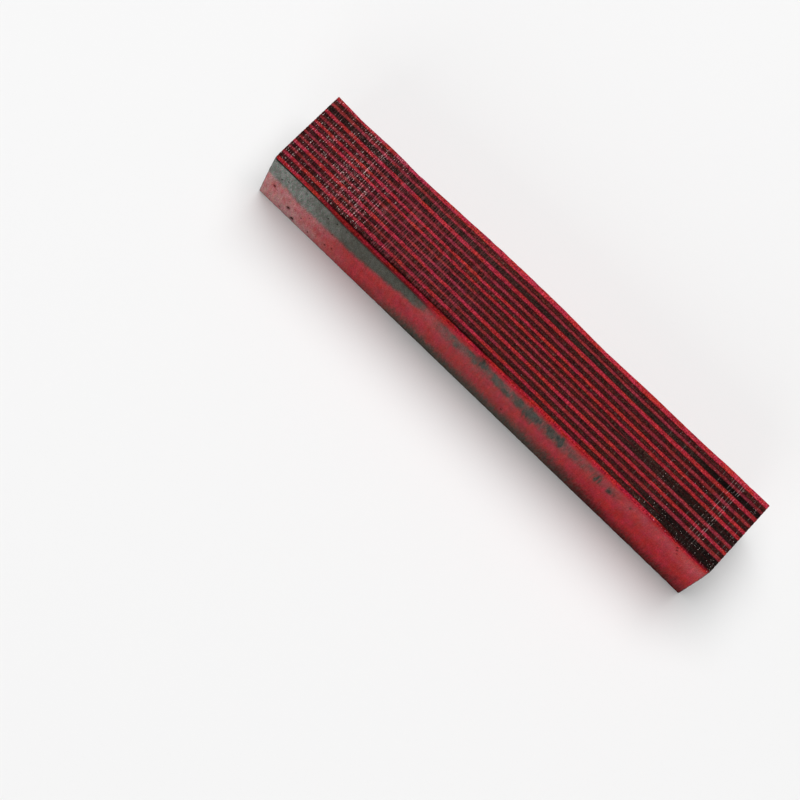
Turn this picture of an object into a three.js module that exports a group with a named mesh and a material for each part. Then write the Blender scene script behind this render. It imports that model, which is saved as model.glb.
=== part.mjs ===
// A sawn block of dyed veneers: red and black sheets of wood, glued face to face.
//
// The block lies on a sawn face. X runs along the grain, Y through the stack of sheets and Z up.
// Lengths are in millimetres. Inside the stack, x is measured from the left end, y from the near
// sawn face and z from the face that the block lies on.
//
// The saw ran almost parallel to the sheets, so its two outer cuts wander through the outermost
// ones: a sliver of one more black sheet is left on the near face, and a wedge on the far face.

import * as THREE from 'three';

const LENGTH = 127;
const WIDTH = 21.05;
const HEIGHT = 20.8;

// Steps along the grain. Every sheet has its corners at the same places, so two neighbours
// share each corner of the glue line between them.
const STEPS = 32;

// Each sheet from near to far, with the depth of its far glue line at the left end, at mid
// length and at the right end, on the top of the block.
const LAY_UP = [
  { colour: 'red', depth: [1.20, 1.10, 0.80] },
  { colour: 'black', depth: [2.20, 2.05, 1.75] },
  { colour: 'red', depth: [3.15, 3.00, 2.65], thinsFrom: 98, endsAt: 111 },
  { colour: 'black', depth: [4.05, 3.90, 3.60] },
  { colour: 'dull_red', depth: [4.80, 4.75, 4.60] },
  { colour: 'black', depth: [5.65, 5.60, 5.50] },
  { colour: 'red', depth: [6.55, 6.55, 6.45] },
  { colour: 'black', depth: [7.35, 7.40, 7.35] },
  { colour: 'dull_red', depth: [8.10, 8.25, 8.30] },
  { colour: 'black', depth: [8.95, 9.05, 8.90] },
  { colour: 'dull_red', depth: [9.70, 9.85, 9.55], thinsFrom: 88, endsAt: 99 },
  { colour: 'black', depth: [10.55, 10.65, 10.05] },
  { colour: 'red', depth: [11.40, 11.45, 11.05] },
  { colour: 'black', depth: [12.25, 12.25, 11.95] },
  { colour: 'red', depth: [13.05, 13.10, 12.85] },
  { colour: 'black', depth: [13.85, 13.95, 13.80] },
  { colour: 'dull_red', depth: [14.70, 14.85, 14.75] },
  { colour: 'black', depth: [15.55, 15.75, 15.70] },
  { colour: 'red', depth: [16.50, 16.80, 16.80] },
  { colour: 'black', depth: [17.75, 17.90, 18.05] },
  { colour: 'dull_red', depth: [18.60, 18.70, 18.90] },
  { colour: 'black', depth: [19.40, 19.60, 19.85] },
  { colour: 'red' },
];

// The press left the stack this much thinner at its quarter points.
const SQUEEZE = 0.013;

// The sheets lean: at the foot of the block they stand nearer to the near face.
const LEAN_AT_ENDS = 0.55;
const LEAN_ADDED_AT_MIDDLE = 0.4;

// The top edge of the far face wanders, because thin splinters broke away there.
// Each pair is a distance from the left end and the width of the block at that place.
const FAR_EDGE = [
  [0, 20.4], [8, 20.1], [17, 20.35], [25, 20.1], [50, 20.9], [66, 20.9],
  [79, 20.5], [92, 20.8], [109, 20.8], [115, WIDTH], [LENGTH, WIDTH],
];
const FAR_EDGE_AT_FOOT = 0.5;

// The black sliver on the near face: a long lens that thins out towards mid length.
// Each pair is a distance from the left end and a depth below the top of the block.
const SLIVER_LENGTH = 47;
const SLIVER_THICKNESS = 0.25;
const SLIVER_UPPER_LINE = [[0, 0.3], [12, 0.3], [20, 0.8], [43, 0.9], [SLIVER_LENGTH, 1.8]];
const SLIVER_LOWER_LINE = [[0, 7.8], [15, 9.3], [30, 7.8], [40, 6.0], [SLIVER_LENGTH, 4.2]];
const SLIVER_LEAVES_TOP_AT = 14;

// The black wedge on the far face: thickest along the foot of the block.
const WEDGE_THICKNESS = 0.5;
const WEDGE_LINE = [[0, 6.5], [30, 9.5], [62, 7.0], [95, 10.0], [LENGTH, 8.0]];

const FINISHES = {
  red: { color: '#ac1c2c', roughness: 0.5 },
  dull_red: { color: '#861f2f', roughness: 0.55 },
  black: { color: '#2b2422', roughness: 0.5 },
};

const stations = Array.from({ length: STEPS + 1 }, (_, step) => LENGTH * step / STEPS);

// A broken line through pairs of x and value.
function along(pairs, x) {
  const next = pairs.findIndex(([at]) => at >= x);
  if (next <= 0) {
    return next === 0 ? pairs[0][1] : pairs.at(-1)[1];
  }
  const [fromX, fromValue] = pairs[next - 1];
  const [toX, toValue] = pairs[next];
  return THREE.MathUtils.mapLinear(x, fromX, toX, fromValue, toValue);
}

// The parabola through a value at the left end, one at mid length and one at the right end.
function bow([left, middle, right], x) {
  const s = x / LENGTH;
  return left * (1 - s) * (1 - 2 * s) + middle * 4 * s * (1 - s) + right * s * (2 * s - 1);
}

function lean(x, z) {
  const shift = LEAN_AT_ENDS + LEAN_ADDED_AT_MIDDLE * Math.sin(Math.PI * x / LENGTH);
  return shift * (1 - z / HEIGHT);
}

// How far a glue line lies from the near face. A sheet that tapers out before the right end
// draws its two glue lines together, and its black neighbours close over it.
function glueDepth(line, x, z) {
  const squeezed = 1 - SQUEEZE * (1 - Math.cos(4 * Math.PI * x / LENGTH)) / 2;
  const depthOf = (sheet) => bow(LAY_UP[sheet].depth, x) * squeezed - lean(x, z);
  for (const sheet of [line, line + 1]) {
    const { thinsFrom, endsAt } = LAY_UP[sheet];
    if (endsAt) {
      const left = THREE.MathUtils.clamp((endsAt - x) / (endsAt - thinsFrom), 0, 1);
      const middle = (depthOf(sheet - 1) + depthOf(sheet)) / 2;
      return THREE.MathUtils.lerp(middle, depthOf(line), left);
    }
  }
  return depthOf(line);
}

function farFaceDepth(x, z) {
  const wander = THREE.MathUtils.lerp(FAR_EDGE_AT_FOOT, 1, z / HEIGHT);
  return WIDTH - (WIDTH - along(FAR_EDGE, x)) * wander;
}

// One row of corners along the grain, at a height and a depth that may both change with x.
function row(heightAt, depthAt) {
  return stations.map((x) => {
    const z = heightAt(x);
    return new THREE.Vector3(x, depthAt(x, z), z);
  });
}

const foot = () => 0;
const top = () => HEIGHT;
const onNearFace = () => 0;

function glueLine(line) {
  return [foot, top].map((height) => row(height, (x, z) => glueDepth(line, x, z)));
}

// The near skin of the first red sheet, which is also the back of the black sliver.
function sliverHeights() {
  const upper = (x) => HEIGHT - along(SLIVER_UPPER_LINE, x);
  const lower = (x) => HEIGHT - along(SLIVER_LOWER_LINE, x);
  const between = (x) => (upper(x) + lower(x)) / 2;
  return [foot, lower, between, upper, top];
}

function sliverBack() {
  const thickness = (x) => SLIVER_THICKNESS * Math.max(0, 1 - x / SLIVER_LENGTH);
  const nearTop = (x) => (x < SLIVER_LEAVES_TOP_AT ? thickness(x) : 0);
  const depths = [onNearFace, onNearFace, thickness, nearTop, nearTop];
  return sliverHeights().map((height, level) => row(height, depths[level]));
}

function sliverFront() {
  return sliverHeights().map((height) => row(height, onNearFace));
}

// The far skin of the last red sheet, which is also the back of the black wedge.
const wedgeHeights = [foot, (x) => along(WEDGE_LINE, x), top];

function wedgeBack() {
  const underWedge = (x, z) => farFaceDepth(x, z) - WEDGE_THICKNESS;
  const depths = [underWedge, farFaceDepth, farFaceDepth];
  return wedgeHeights.map((height, level) => row(height, depths[level]));
}

function wedgeFront() {
  return wedgeHeights.map((height) => row(height, farFaceDepth));
}

// A closed solid between a near skin and a far skin. Each skin is a list of rows from foot to
// top. Where the two skins meet, the sheet has been sawn away and the solid ends in an edge.
function solidBetween(nearSkin, farSkin) {
  const corners = [];
  const cornerAt = new Map();
  const faces = new Map();

  const indexOf = (point) => {
    const key = point.toArray().map((value) => value.toFixed(6)).join();
    if (!cornerAt.has(key)) {
      cornerAt.set(key, corners.length);
      corners.push(point);
    }
    return cornerAt.get(key);
  };

  // Two faces back to back enclose nothing, and cancel.
  const addFace = (...points) => {
    const face = points.map(indexOf);
    if (new Set(face).size < 3) {
      return;
    }
    const key = [...face].sort((a, b) => a - b).join();
    if (!faces.delete(key)) {
      faces.set(key, face);
    }
  };

  const addSkin = (lower, upper, facesNear) => {
    for (let step = 0; step < STEPS; step += 1) {
      const [a, b, c, d] = [lower[step], lower[step + 1], upper[step + 1], upper[step]];
      if (facesNear) {
        addFace(a, b, c);
        addFace(a, c, d);
      } else {
        addFace(a, c, b);
        addFace(a, d, c);
      }
    }
  };

  const addEnd = (near, far, facesLeft) => {
    let i = 0;
    let j = 0;
    while (i < near.length - 1 || j < far.length - 1) {
      const climbsNear = j === far.length - 1 || (i < near.length - 1 && near[i + 1].z <= far[j + 1].z);
      const third = climbsNear ? near[i + 1] : far[j + 1];
      if (facesLeft) {
        addFace(near[i], third, far[j]);
      } else {
        addFace(near[i], far[j], third);
      }
      i += climbsNear ? 1 : 0;
      j += climbsNear ? 0 : 1;
    }
  };

  for (let level = 1; level < nearSkin.length; level += 1) {
    addSkin(nearSkin[level - 1], nearSkin[level], true);
  }
  for (let level = 1; level < farSkin.length; level += 1) {
    addSkin(farSkin[level - 1], farSkin[level], false);
  }
  addSkin(nearSkin.at(-1), farSkin.at(-1), true);
  addSkin(nearSkin[0], farSkin[0], false);
  addEnd(nearSkin.map((line) => line[0]), farSkin.map((line) => line[0]), true);
  addEnd(nearSkin.map((line) => line[STEPS]), farSkin.map((line) => line[STEPS]), false);

  const used = new THREE.BufferGeometry().setFromPoints(corners);
  used.setIndex([...faces.values()].flat());
  const geometry = used.toNonIndexed();
  geometry.computeVertexNormals();
  return geometry;
}

function veneer(name, colour, nearSkin, farSkin) {
  const material = new THREE.MeshStandardMaterial({ ...FINISHES[colour], metalness: 0 });
  const mesh = new THREE.Mesh(solidBetween(nearSkin, farSkin), material);
  mesh.name = name;
  return mesh;
}

const stack = new THREE.Group();
stack.position.set(-LENGTH / 2, -WIDTH / 2, 0);

stack.add(veneer('near_sliver_black', 'black', sliverFront(), sliverBack()));
LAY_UP.forEach(({ colour }, sheet) => {
  const nearSkin = sheet === 0 ? sliverBack() : glueLine(sheet - 1);
  const farSkin = sheet === LAY_UP.length - 1 ? wedgeBack() : glueLine(sheet);
  const number = String(sheet + 1).padStart(2, '0');
  stack.add(veneer(`veneer_${number}_${colour}`, colour, nearSkin, farSkin));
});
stack.add(veneer('far_wedge_black', 'black', wedgeBack(), wedgeFront()));

const block = new THREE.Group();
block.add(stack);

export default block;
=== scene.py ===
"""A sawn block of dyed veneers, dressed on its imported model.

The block lies on a sawn face. X runs along the grain, Y through the stack of sheets and Z up. The
shapes are worked out in millimetres inside the block: x from its left end, y from its near sawn
face and z from the face that it lies on. They become metres when they are put into a mesh.
"""

import math

import bpy
import numpy as np
from bpy.props import FloatProperty, FloatVectorProperty, PointerProperty
from mathutils import Matrix, Vector


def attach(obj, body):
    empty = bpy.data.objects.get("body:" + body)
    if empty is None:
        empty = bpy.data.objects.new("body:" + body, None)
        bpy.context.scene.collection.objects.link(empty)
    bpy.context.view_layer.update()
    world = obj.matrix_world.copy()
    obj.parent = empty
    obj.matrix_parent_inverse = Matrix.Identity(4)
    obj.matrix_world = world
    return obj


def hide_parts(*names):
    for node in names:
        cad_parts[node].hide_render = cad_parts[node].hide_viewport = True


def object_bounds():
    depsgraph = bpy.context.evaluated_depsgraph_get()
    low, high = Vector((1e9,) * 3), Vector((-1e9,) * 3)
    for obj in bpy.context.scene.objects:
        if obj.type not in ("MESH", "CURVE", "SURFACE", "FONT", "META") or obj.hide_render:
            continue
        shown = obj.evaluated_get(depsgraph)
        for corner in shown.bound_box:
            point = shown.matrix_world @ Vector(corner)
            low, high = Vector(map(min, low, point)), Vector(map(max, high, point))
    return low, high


bl_info = {
    "name": "Dyed Laminated Wood Block",
    "version": (1, 0, 0),
    "blender": (4, 5, 0),
    "location": "3D View > Sidebar > Veneer Block",
    "description": "Saws, dyes and wears the sheets of a laminated block, and sets up its studio",
    "category": "Object",
}

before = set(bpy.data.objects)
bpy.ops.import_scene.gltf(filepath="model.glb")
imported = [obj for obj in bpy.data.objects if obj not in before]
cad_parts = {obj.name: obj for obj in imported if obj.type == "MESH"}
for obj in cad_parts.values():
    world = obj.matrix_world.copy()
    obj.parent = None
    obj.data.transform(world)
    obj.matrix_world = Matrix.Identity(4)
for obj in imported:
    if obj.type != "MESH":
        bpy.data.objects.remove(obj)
CAD_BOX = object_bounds()

MM = 0.001
LOW = np.array(CAD_BOX[0])
LENGTH, WIDTH, HEIGHT = (np.array(CAD_BOX[1]) - LOW) / MM

# The sheets are numbered from the near face to the far one, and this is the order of their nodes.
SHEETS = sorted(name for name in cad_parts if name.startswith("veneer_"))
SLIVER = "near_sliver_black"
WEDGE = "far_wedge_black"
LAST = len(SHEETS) - 1
BLACKS = range(1, LAST, 2)

# Corners this close together lie at one station along the grain, or at one level.
SAME_STATION = 0.02
SAME_LEVEL = 0.01

# Thinner than this, a sheet ends or an offcut is sawn away.
THINNEST_SHEET = 0.02
THINNEST_OFFCUT = 0.004

# What the materials read at each corner: the distance to the nearest glue line, how far another
# dye shows through, whether it lies on a cut end, how much brighter than its dye it is, painted
# light and shade included, how cool or mossy, how dense its painted glints are, how strong the
# painted sheen over them is, and how thick the dust lies, with painted sheen in it. The first is
# NO_GLUE on a face that shows no glue line, and GLUE_IS_FAR tells such a face by it.
ATTRIBUTES = ("glue", "other", "end", "shade", "cool", "glint_paint", "sheen_paint", "dust")
NO_GLUE = 9
GLUE_IS_FAR = 5.0

# What differs between the veneers' materials, by the ending of their nodes' names: the width of
# the resin along a glue line, how much moss mottles the dye, how torn the edge of another dye is
# that shows through, and the strength of the texture.
VENEERS = {
    "dull_red": (0.27, 0.08, 0.2, 1.0), "red": (0.22, 0.08, 0.7, 1.0),
    "black": (0.16, 0.55, -0.2, 1.6),
}

# How dark the texture may make a dye, and the depth of the relief that only shades the wood.
DARKEST = 0.12
BUMP_DEPTH = 0.05 * MM

# The saw moved on by this much between two strokes.
SAW_PITCH = 0.58

# How far an edge moves in from both of its faces, as a share of its radius, and the angle from
# which an edge is shaded sharp.
ROUNDING = 0.35
SHARP_ANGLE = math.radians(42)

# What the camera sees beyond the floor.
BACKDROP = (0.92, 0.92, 0.92, 1)

# Black soaked into the first red sheet, where the saw left it thin. Each patch is x, the depth
# below the top, half its width, half its height and its strength.
DARK_PATCHES = np.array([
    (50.3, 2.8, 1.2, 1.8, 0.60), (53.0, 2.8, 0.6, 1.4, 0.40), (55.8, 3.0, 1.3, 1.8, 0.55),
    (61.8, 3.3, 1.8, 2.6, 0.85), (65.3, 3.2, 1.3, 2.0, 0.35), (68.0, 3.9, 1.3, 2.3, 0.50),
    (71.0, 3.2, 1.8, 2.0, 0.15), (73.9, 4.1, 1.3, 2.2, 0.50), (76.5, 4.7, 1.4, 3.4, 1.00),
    (78.8, 4.4, 1.4, 2.4, 0.75), (80.6, 4.6, 1.1, 2.2, 0.65), (82.6, 4.6, 1.5, 2.4, 0.90),
    (85.2, 4.0, 1.2, 2.7, 0.95), (88.1, 4.5, 0.6, 1.8, 0.50), (91.3, 3.6, 0.7, 2.1, 0.50),
    (96.2, 4.4, 1.2, 2.7, 0.95), (100.2, 4.6, 1.7, 1.8, 0.80), (105.5, 4.0, 0.6, 1.6, 0.35),
])

# Sheets that took more or less dye than the others, by their number from 0 and how much brighter
# they are, and the black sheet whose dye is cool all along.
TONES = {2: -0.10, 7: 0.12, 13: 0.40, 21: 0.30, 22: 0.22}
COOL_BLACK = 19

# Sheets that turn darker towards the right, and black ones that turn cool: their numbers, the
# stretch of x over which they do so, and how far they turn.
TURNING_DARK = (
    ((0, 20, *BLACKS), 102, 116, 0.34), ((1, 3), 100, 112, 0.40), ((9, 11), 100, 112, 0.20),
    ((19,), 103, 117, 0.42),
)
TURNING_COOL = (((1, 3), 98, 110, 0.8), ((9, 11), 86, 98, 0.7))

# Torn pits in the near face: x, the depth below the top and the radius.
PITS = np.array([
    (2.8, 12.3, 0.34), (7.8, 16.4, 0.50), (9.6, 19.7, 0.50), (19.4, 9.5, 0.22), (11.5, 15.4, 0.22),
    (20.8, 15.9, 0.22), (19.0, 17.2, 0.24), (3.7, 6.4, 0.20), (8.5, 1.0, 0.26), (16.9, 4.2, 0.24),
    (13.2, 12.0, 0.18), (14.2, 18.8, 0.24), (5.9, 19.4, 0.22), (10.2, 2.4, 0.20), (5.3, 4.6, 0.18),
    (19.2, 2.9, 0.20), (71.4, 14.9, 0.22), (118.6, 1.5, 0.24), (119.0, 2.8, 0.26),
    (119.6, 4.3, 0.20),
])

# Pale scratches that the saw left across the top near its right end, their paleness partly a
# painted highlight: x and strength, and how far they bend along x.
SCRATCHES = (
    (101.0, 0.25), (105.2, 0.30), (107.1, 0.20), (109.2, 0.30), (115.1, 0.30), (117.7, 0.50),
    (118.4, 1.00), (119.3, 0.50), (120.0, 0.85), (120.5, 0.90), (123.0, 0.45), (124.1, 0.30),
    (125.5, 0.45),
)
SCRATCH_BEND = 0.5


def metres(description, default, most, least=0):
    """A length."""
    return FloatProperty(
        description=description, default=default, min=least, max=most, precision=5, unit="LENGTH")


def tint(description, red, green, blue):
    """An opaque colour, in linear light."""
    return FloatVectorProperty(
        description=description, default=(red, green, blue, 1), size=4, min=0, max=1,
        subtype="COLOR")


def scalar(description, default, **limits):
    """A number."""
    return FloatProperty(description=description, default=default, **limits)


class BlockSizes(bpy.types.PropertyGroup):
    grid_step: metres("Distance between two rows of corners along the grain", 0.0002, 0.002, 0.0001)
    wander: metres("How far a glue line strays to each side", 0.00004, 0.0003)
    saw_depth: metres("Depth of the strokes that the saw left across the grain", 0.00003, 0.0002)
    groove_depth: metres("How deep the wood is torn along a glue line", 0.00004, 0.0002)
    crack_depth: metres("Depth of the open joint behind the first sheet", 0.0004, 0.001)
    arris_radius: metres("Radius to which the long edges are worn", 0.00018, 0.0006)
    corner_wear: metres("How far the two near corners are knocked off", 0.0009, 0.002)
    end_slant: metres("How far the end cuts run out of square over the width", 0.00004, 0.001)


class BlockDyes(bpy.types.PropertyGroup):
    red: tint("Dye of the bright sheets", 0.322, 0.0158, 0.0222)
    dull_red: tint("Dye of the browner sheets", 0.225, 0.0186, 0.0242)
    deep_red: tint("Red of the first sheet, which took the dye best", 0.322, 0.0094, 0.0132)
    black: tint("Dye of the dark sheets", 0.0445, 0.0040, 0.0033)
    cool_black: tint("Dark sheets where the dye lies thick", 0.026, 0.0105, 0.0080)
    end_grain: tint("Dulled and dusty ends of the sheets", 0.300, 0.252, 0.246)
    moss: tint("Green cast of black dye under a thin red sheet", 0.038, 0.041, 0.029)
    resin: tint("Dark resin that soaked in along the glue lines", 0.028, 0.0035, 0.0040)
    # Pale colours of the dust on the sawn faces, which also carry a painted sheen.
    dust: tint("Pale dust and dried resin on the near face", 0.58, 0.97, 0.79)
    rosy_dust_and_sheen: tint("The same dust with red in it", 1.00, 0.80, 0.86)
    # The colours of the painted glints: pale specks painted in as highlights on the resin.
    red_glint_paint: tint("Resin that catches the light on a red sheet", 0.75, 0.25, 0.30)
    black_glint_paint: tint("Resin that catches the light on a black sheet", 0.50, 0.42, 0.39)
    roughness: scalar("Roughness of the sawn, resin-filled wood", 0.46, min=0, max=1)
    sheet_spread: scalar("How much the dye differs from sheet to sheet", 0.07, min=0, max=0.5)


class Studio(bpy.types.PropertyGroup):
    floor: tint("Colour of the floor", 0.86, 0.86, 0.86)
    key_power: scalar("Power of the light above and behind the left end", 65.8, min=0, unit="POWER")
    near_power: scalar("Power of the light in front of the near side", 11.0, min=0, unit="POWER")
    air: scalar("Brightness of the room all round", 0.12, min=0)
    azimuth: scalar(
        "Camera's turn round the block from straight in front", math.radians(5.871),
        subtype="ANGLE")
    elevation: scalar("Camera's height as an angle", math.radians(70.598), subtype="ANGLE")
    roll: scalar("Camera's turn round its line of sight", math.radians(-38.374), subtype="ANGLE")
    lens: scalar("Focal length on a 36 mm sensor, in millimetres", 124.83, min=1)
    eye: FloatVectorProperty(
        description="Place of the camera", default=(0.01123, -0.22156, 0.56708), size=3,
        precision=5, subtype="TRANSLATION", unit="LENGTH")


# Shapes

def ease(value, low, high):
    """0 up to low, 1 from high, and between t * t * (3 - 2 * t), with t the share of the way."""
    share = np.clip((value - low) / (high - low), 0, 1)
    return share * share * (3 - 2 * share)


def fall(value, low, high):
    """1 up to low and 0 from high, the mirror of ease."""
    return 1 - ease(value, low, high)


def fade(distance, reach):
    """1 on a face, falling as (1 - distance / reach) squared to 0 at the reach."""
    return np.clip(1 - distance / reach, 0, 1) ** 2


def noise(seed, *axes):
    """Smooth noise from -1 to 1 over one to three axes, each measured in grains.

    Each whole-numbered point has a random value. A point between takes the mean of the corners
    round it, weighted on each axis by t * t * (3 - 2 * t), with t its share of the way there.
    """
    table = np.random.default_rng(seed).uniform(-1, 1, (1024, 128, 32)[: len(axes)])
    axes = np.broadcast_arrays(*axes)
    cells = [np.floor(axis).astype(int) for axis in axes]
    shares = [ease(axis - cell, 0, 1) for axis, cell in zip(axes, cells)]
    total = 0
    for corner in np.ndindex(*(2,) * len(axes)):
        weight = 1
        for step, share in zip(corner, shares):
            weight = weight * (share if step else 1 - share)
        places = zip(cells, corner, table.shape)
        total = total + weight * table[tuple((cell + step) % size for cell, step, size in places)]
    return total


def node_points(name):
    """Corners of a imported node, in millimetres inside the block."""
    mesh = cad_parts[name].data
    flat = np.empty(len(mesh.vertices) * 3, np.float32)
    mesh.vertices.foreach_get("co", flat)
    return (flat.reshape(-1, 3) - LOW) / MM


def outermost(points, stations, height, side):
    """For each station, the smallest (side -1) or largest (side 1) y of the points at a height."""
    level = points[np.abs(points[:, 2] - height) < SAME_LEVEL]
    place = np.abs(level[:, :1] - stations).argmin(1)
    found = np.full(len(stations), -np.inf)
    np.maximum.at(found, place, side * level[:, 1])
    return np.where(np.isfinite(found), side * found, np.nan)


class Stack:
    """The lines of the stack as functions of x, at the foot and at the top of the block.

    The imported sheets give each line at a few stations. It is drawn through them, smoothed over
    3 mm, and strays a little by seeded noise. Two lines that have met stray together.
    """

    def __init__(self, step, wander):
        inner = np.linspace(0, LENGTH, round(LENGTH / step) + 1)
        near_ends = np.array([0.04, 0.09, 0.15])
        self.x = np.unique(np.concatenate([inner, near_ends, LENGTH - near_ends]).round(6))
        points = {name: node_points(name) for name in [*SHEETS, SLIVER, WEDGE]}
        stations = np.unique(points[SHEETS[1]][:, 0].round(2))
        self.foot = self.lines(points, stations, 0, wander)
        self.top = self.lines(points, stations, HEIGHT, wander)
        self.sliver = self.sliver_section(points[SLIVER], stations)
        wedge = points[WEDGE]
        wedge_tops = [
            wedge[np.abs(wedge[:, 0] - station) < SAME_STATION, 2].max() for station in stations]
        self.wedge_line = self.smooth(stations, np.array(wedge_tops))
        self.wedge_thickness = np.nanmean(
            outermost(wedge, stations, 0, 1) - outermost(wedge, stations, 0, -1))

    def smooth(self, stations, values):
        """Values drawn from station to station, and on past both ends, then their mean under a
        raised cosine 3 mm wide."""
        fine = np.arange(-3, LENGTH + 3, 0.05)
        inside = np.clip(fine, 0, LENGTH)
        mirrored = np.interp(2 * inside - fine, stations, values)
        drawn = 2 * np.interp(inside, stations, values) - mirrored
        window = np.hanning(61)
        mean = np.convolve(drawn, window / window.sum(), mode="same")
        return np.interp(self.x, fine, mean)

    def lines(self, points, stations, height, wander):
        """The near face, each glue line and the far face along x, at the foot or at the top."""
        near = np.array([outermost(points[name], stations, height, -1) for name in SHEETS])
        far = np.array([outermost(points[name], stations, height, 1) for name in SHEETS])
        far[-1] = np.fmax(far[-1], outermost(points[WEDGE], stations, height, 1))
        inner = np.where(np.isnan(far[:-1]), near[1:], far[:-1])
        drawn = [self.smooth(stations, row) for row in (*inner, far[-1])]
        lines = np.array([np.zeros(len(self.x)), *drawn])
        stray = np.zeros_like(lines)
        for line in range(1, len(SHEETS)):
            seed = 100 + line
            slow = noise(seed, self.x / 7 + height)
            quick = noise(seed + 50, self.x / 1.1 + height)
            stray[line] = wander * (0.75 * slow + 0.4 * quick)
        for line in range(1, len(SHEETS)):
            apart = ease(lines[line + 1] - lines[line], 0.05, 0.5)
            middle = (stray[line] + stray[line + 1]) / 2
            stray[line] = middle + (stray[line] - middle) * apart
            stray[line + 1] = middle + (stray[line + 1] - middle) * apart
        stray[-1] = 0
        return lines + stray

    def sliver_section(self, points, stations):
        """Along x: the heights of the sliver's lower line, middle and upper line, and its thickness
        at its middle and at its upper line."""
        columns = []
        for station in stations:
            column = points[np.abs(points[:, 0] - station) < SAME_STATION]
            if not len(column):
                columns.append(columns[-1][:3] + [0, 0])
                continue
            low, high = column[:, 2].min(), column[:, 2].max()
            at_top = column[column[:, 2] > high - SAME_LEVEL, 1].max()
            columns.append([low, (low + high) / 2, high, column[:, 1].max(), at_top])
        return [self.smooth(stations, np.array(values)) for values in zip(*columns)]

    def sliver_depth(self, z):
        """Thickness of the sliver over each station and height z: straight from nothing at its
        lower line to its middle and on to its upper line, above which it stays as it is."""
        low, middle, high, at_middle, at_top = (row[:, None] for row in self.sliver)
        rising = at_middle * np.clip((z - low) / (middle - low), 0, 1)
        falling = (at_middle - at_top) * np.clip((z - middle) / (high - middle), 0, 1)
        depth = rising - falling
        return np.where(depth < THINNEST_OFFCUT, 0, depth)

    def wedge_depth(self, z):
        """Thickness of the wedge: full along the foot, falling straight to nothing at its line."""
        depth = self.wedge_thickness * np.clip(1 - z / self.wedge_line[:, None], 0, 1)
        return np.where(depth < THINNEST_OFFCUT, 0, depth)

    def line(self, number, z):
        """Depth of a line over each station and height z, straight from the foot to the top."""
        share = z / HEIGHT
        return self.foot[number][:, None] * (1 - share) + self.top[number][:, None] * share

    def skins(self, sheet, z):
        """Near and far skin of a sheet, from 0, over each station and height z."""
        near, far = self.line(sheet, z), self.line(sheet + 1, z)
        if sheet == 0:
            near = near + self.sliver_depth(z)
        if sheet == LAST:
            far = far - self.wedge_depth(z)
        return near, far


def saw_relief(seed, along, across, depth):
    """How deep a long sawn face lies: fine strokes across the grain, broken along their length, on
    broader ones, all from 0 to the depth."""
    fine = noise(seed, along / 0.33, across / 5) * 0.5 + 0.5
    middling = noise(seed + 1, along / 0.9, across / 9) * 0.5 + 0.5
    broad = noise(seed + 2, along / 4.5, across / 14) * 0.5 + 0.5
    torn = ease(noise(seed + 3, along / 1.2, across / 0.25), 0.45, 0.95)
    return depth * (0.35 * fine + 0.4 * middling + 0.25 * broad + 0.5 * torn)


def end_relief(seed, y, z, glue):
    """How deep an end cut lies: level strokes of the saw, each sheet set back by its own amount, a
    groove at each glue line and small holes where fibres were pulled out."""
    strokes = noise(seed, z / 0.35, y / 7) * 0.5 + 0.5
    sheets = noise(seed + 1, y / 0.9, z / 16) * 0.5 + 0.5
    holes = ease(noise(seed + 2, y / 0.35, z / 0.35), 0.55, 0.95)
    return 0.012 * strokes + 0.02 * sheets + 0.09 * holes + 0.05 * np.exp(-((glue / 0.10) ** 2))


def crack_mask(stack, x, y):
    """1 in the middle of the open joint behind the first sheet, and 0 away from it."""
    line = np.interp(x, stack.x, stack.top[1]) - 0.08
    left = ease(x, 11, 20) * fall(x, 60, 74)
    right = 0.8 * ease(x, 110, 118)
    opening = (left + right) * (0.8 + 0.2 * noise(7, x / 2))
    return opening * np.exp(-(((y - line + 0.15 * right) / 0.2) ** 2))


def pit_mask(x, z):
    """1 in the middle of each torn pit of the near face, and 0 away from them."""
    depth = HEIGHT - z
    total = 0
    for px, pd, radius in PITS:
        below = depth - pd
        away = ((x - px + 0.15 * below) / radius) ** 2 + (below / (1.6 * radius)) ** 2
        total = total + np.exp(-0.9 * away ** 2)
    return np.clip(total, 0, 1)


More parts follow.
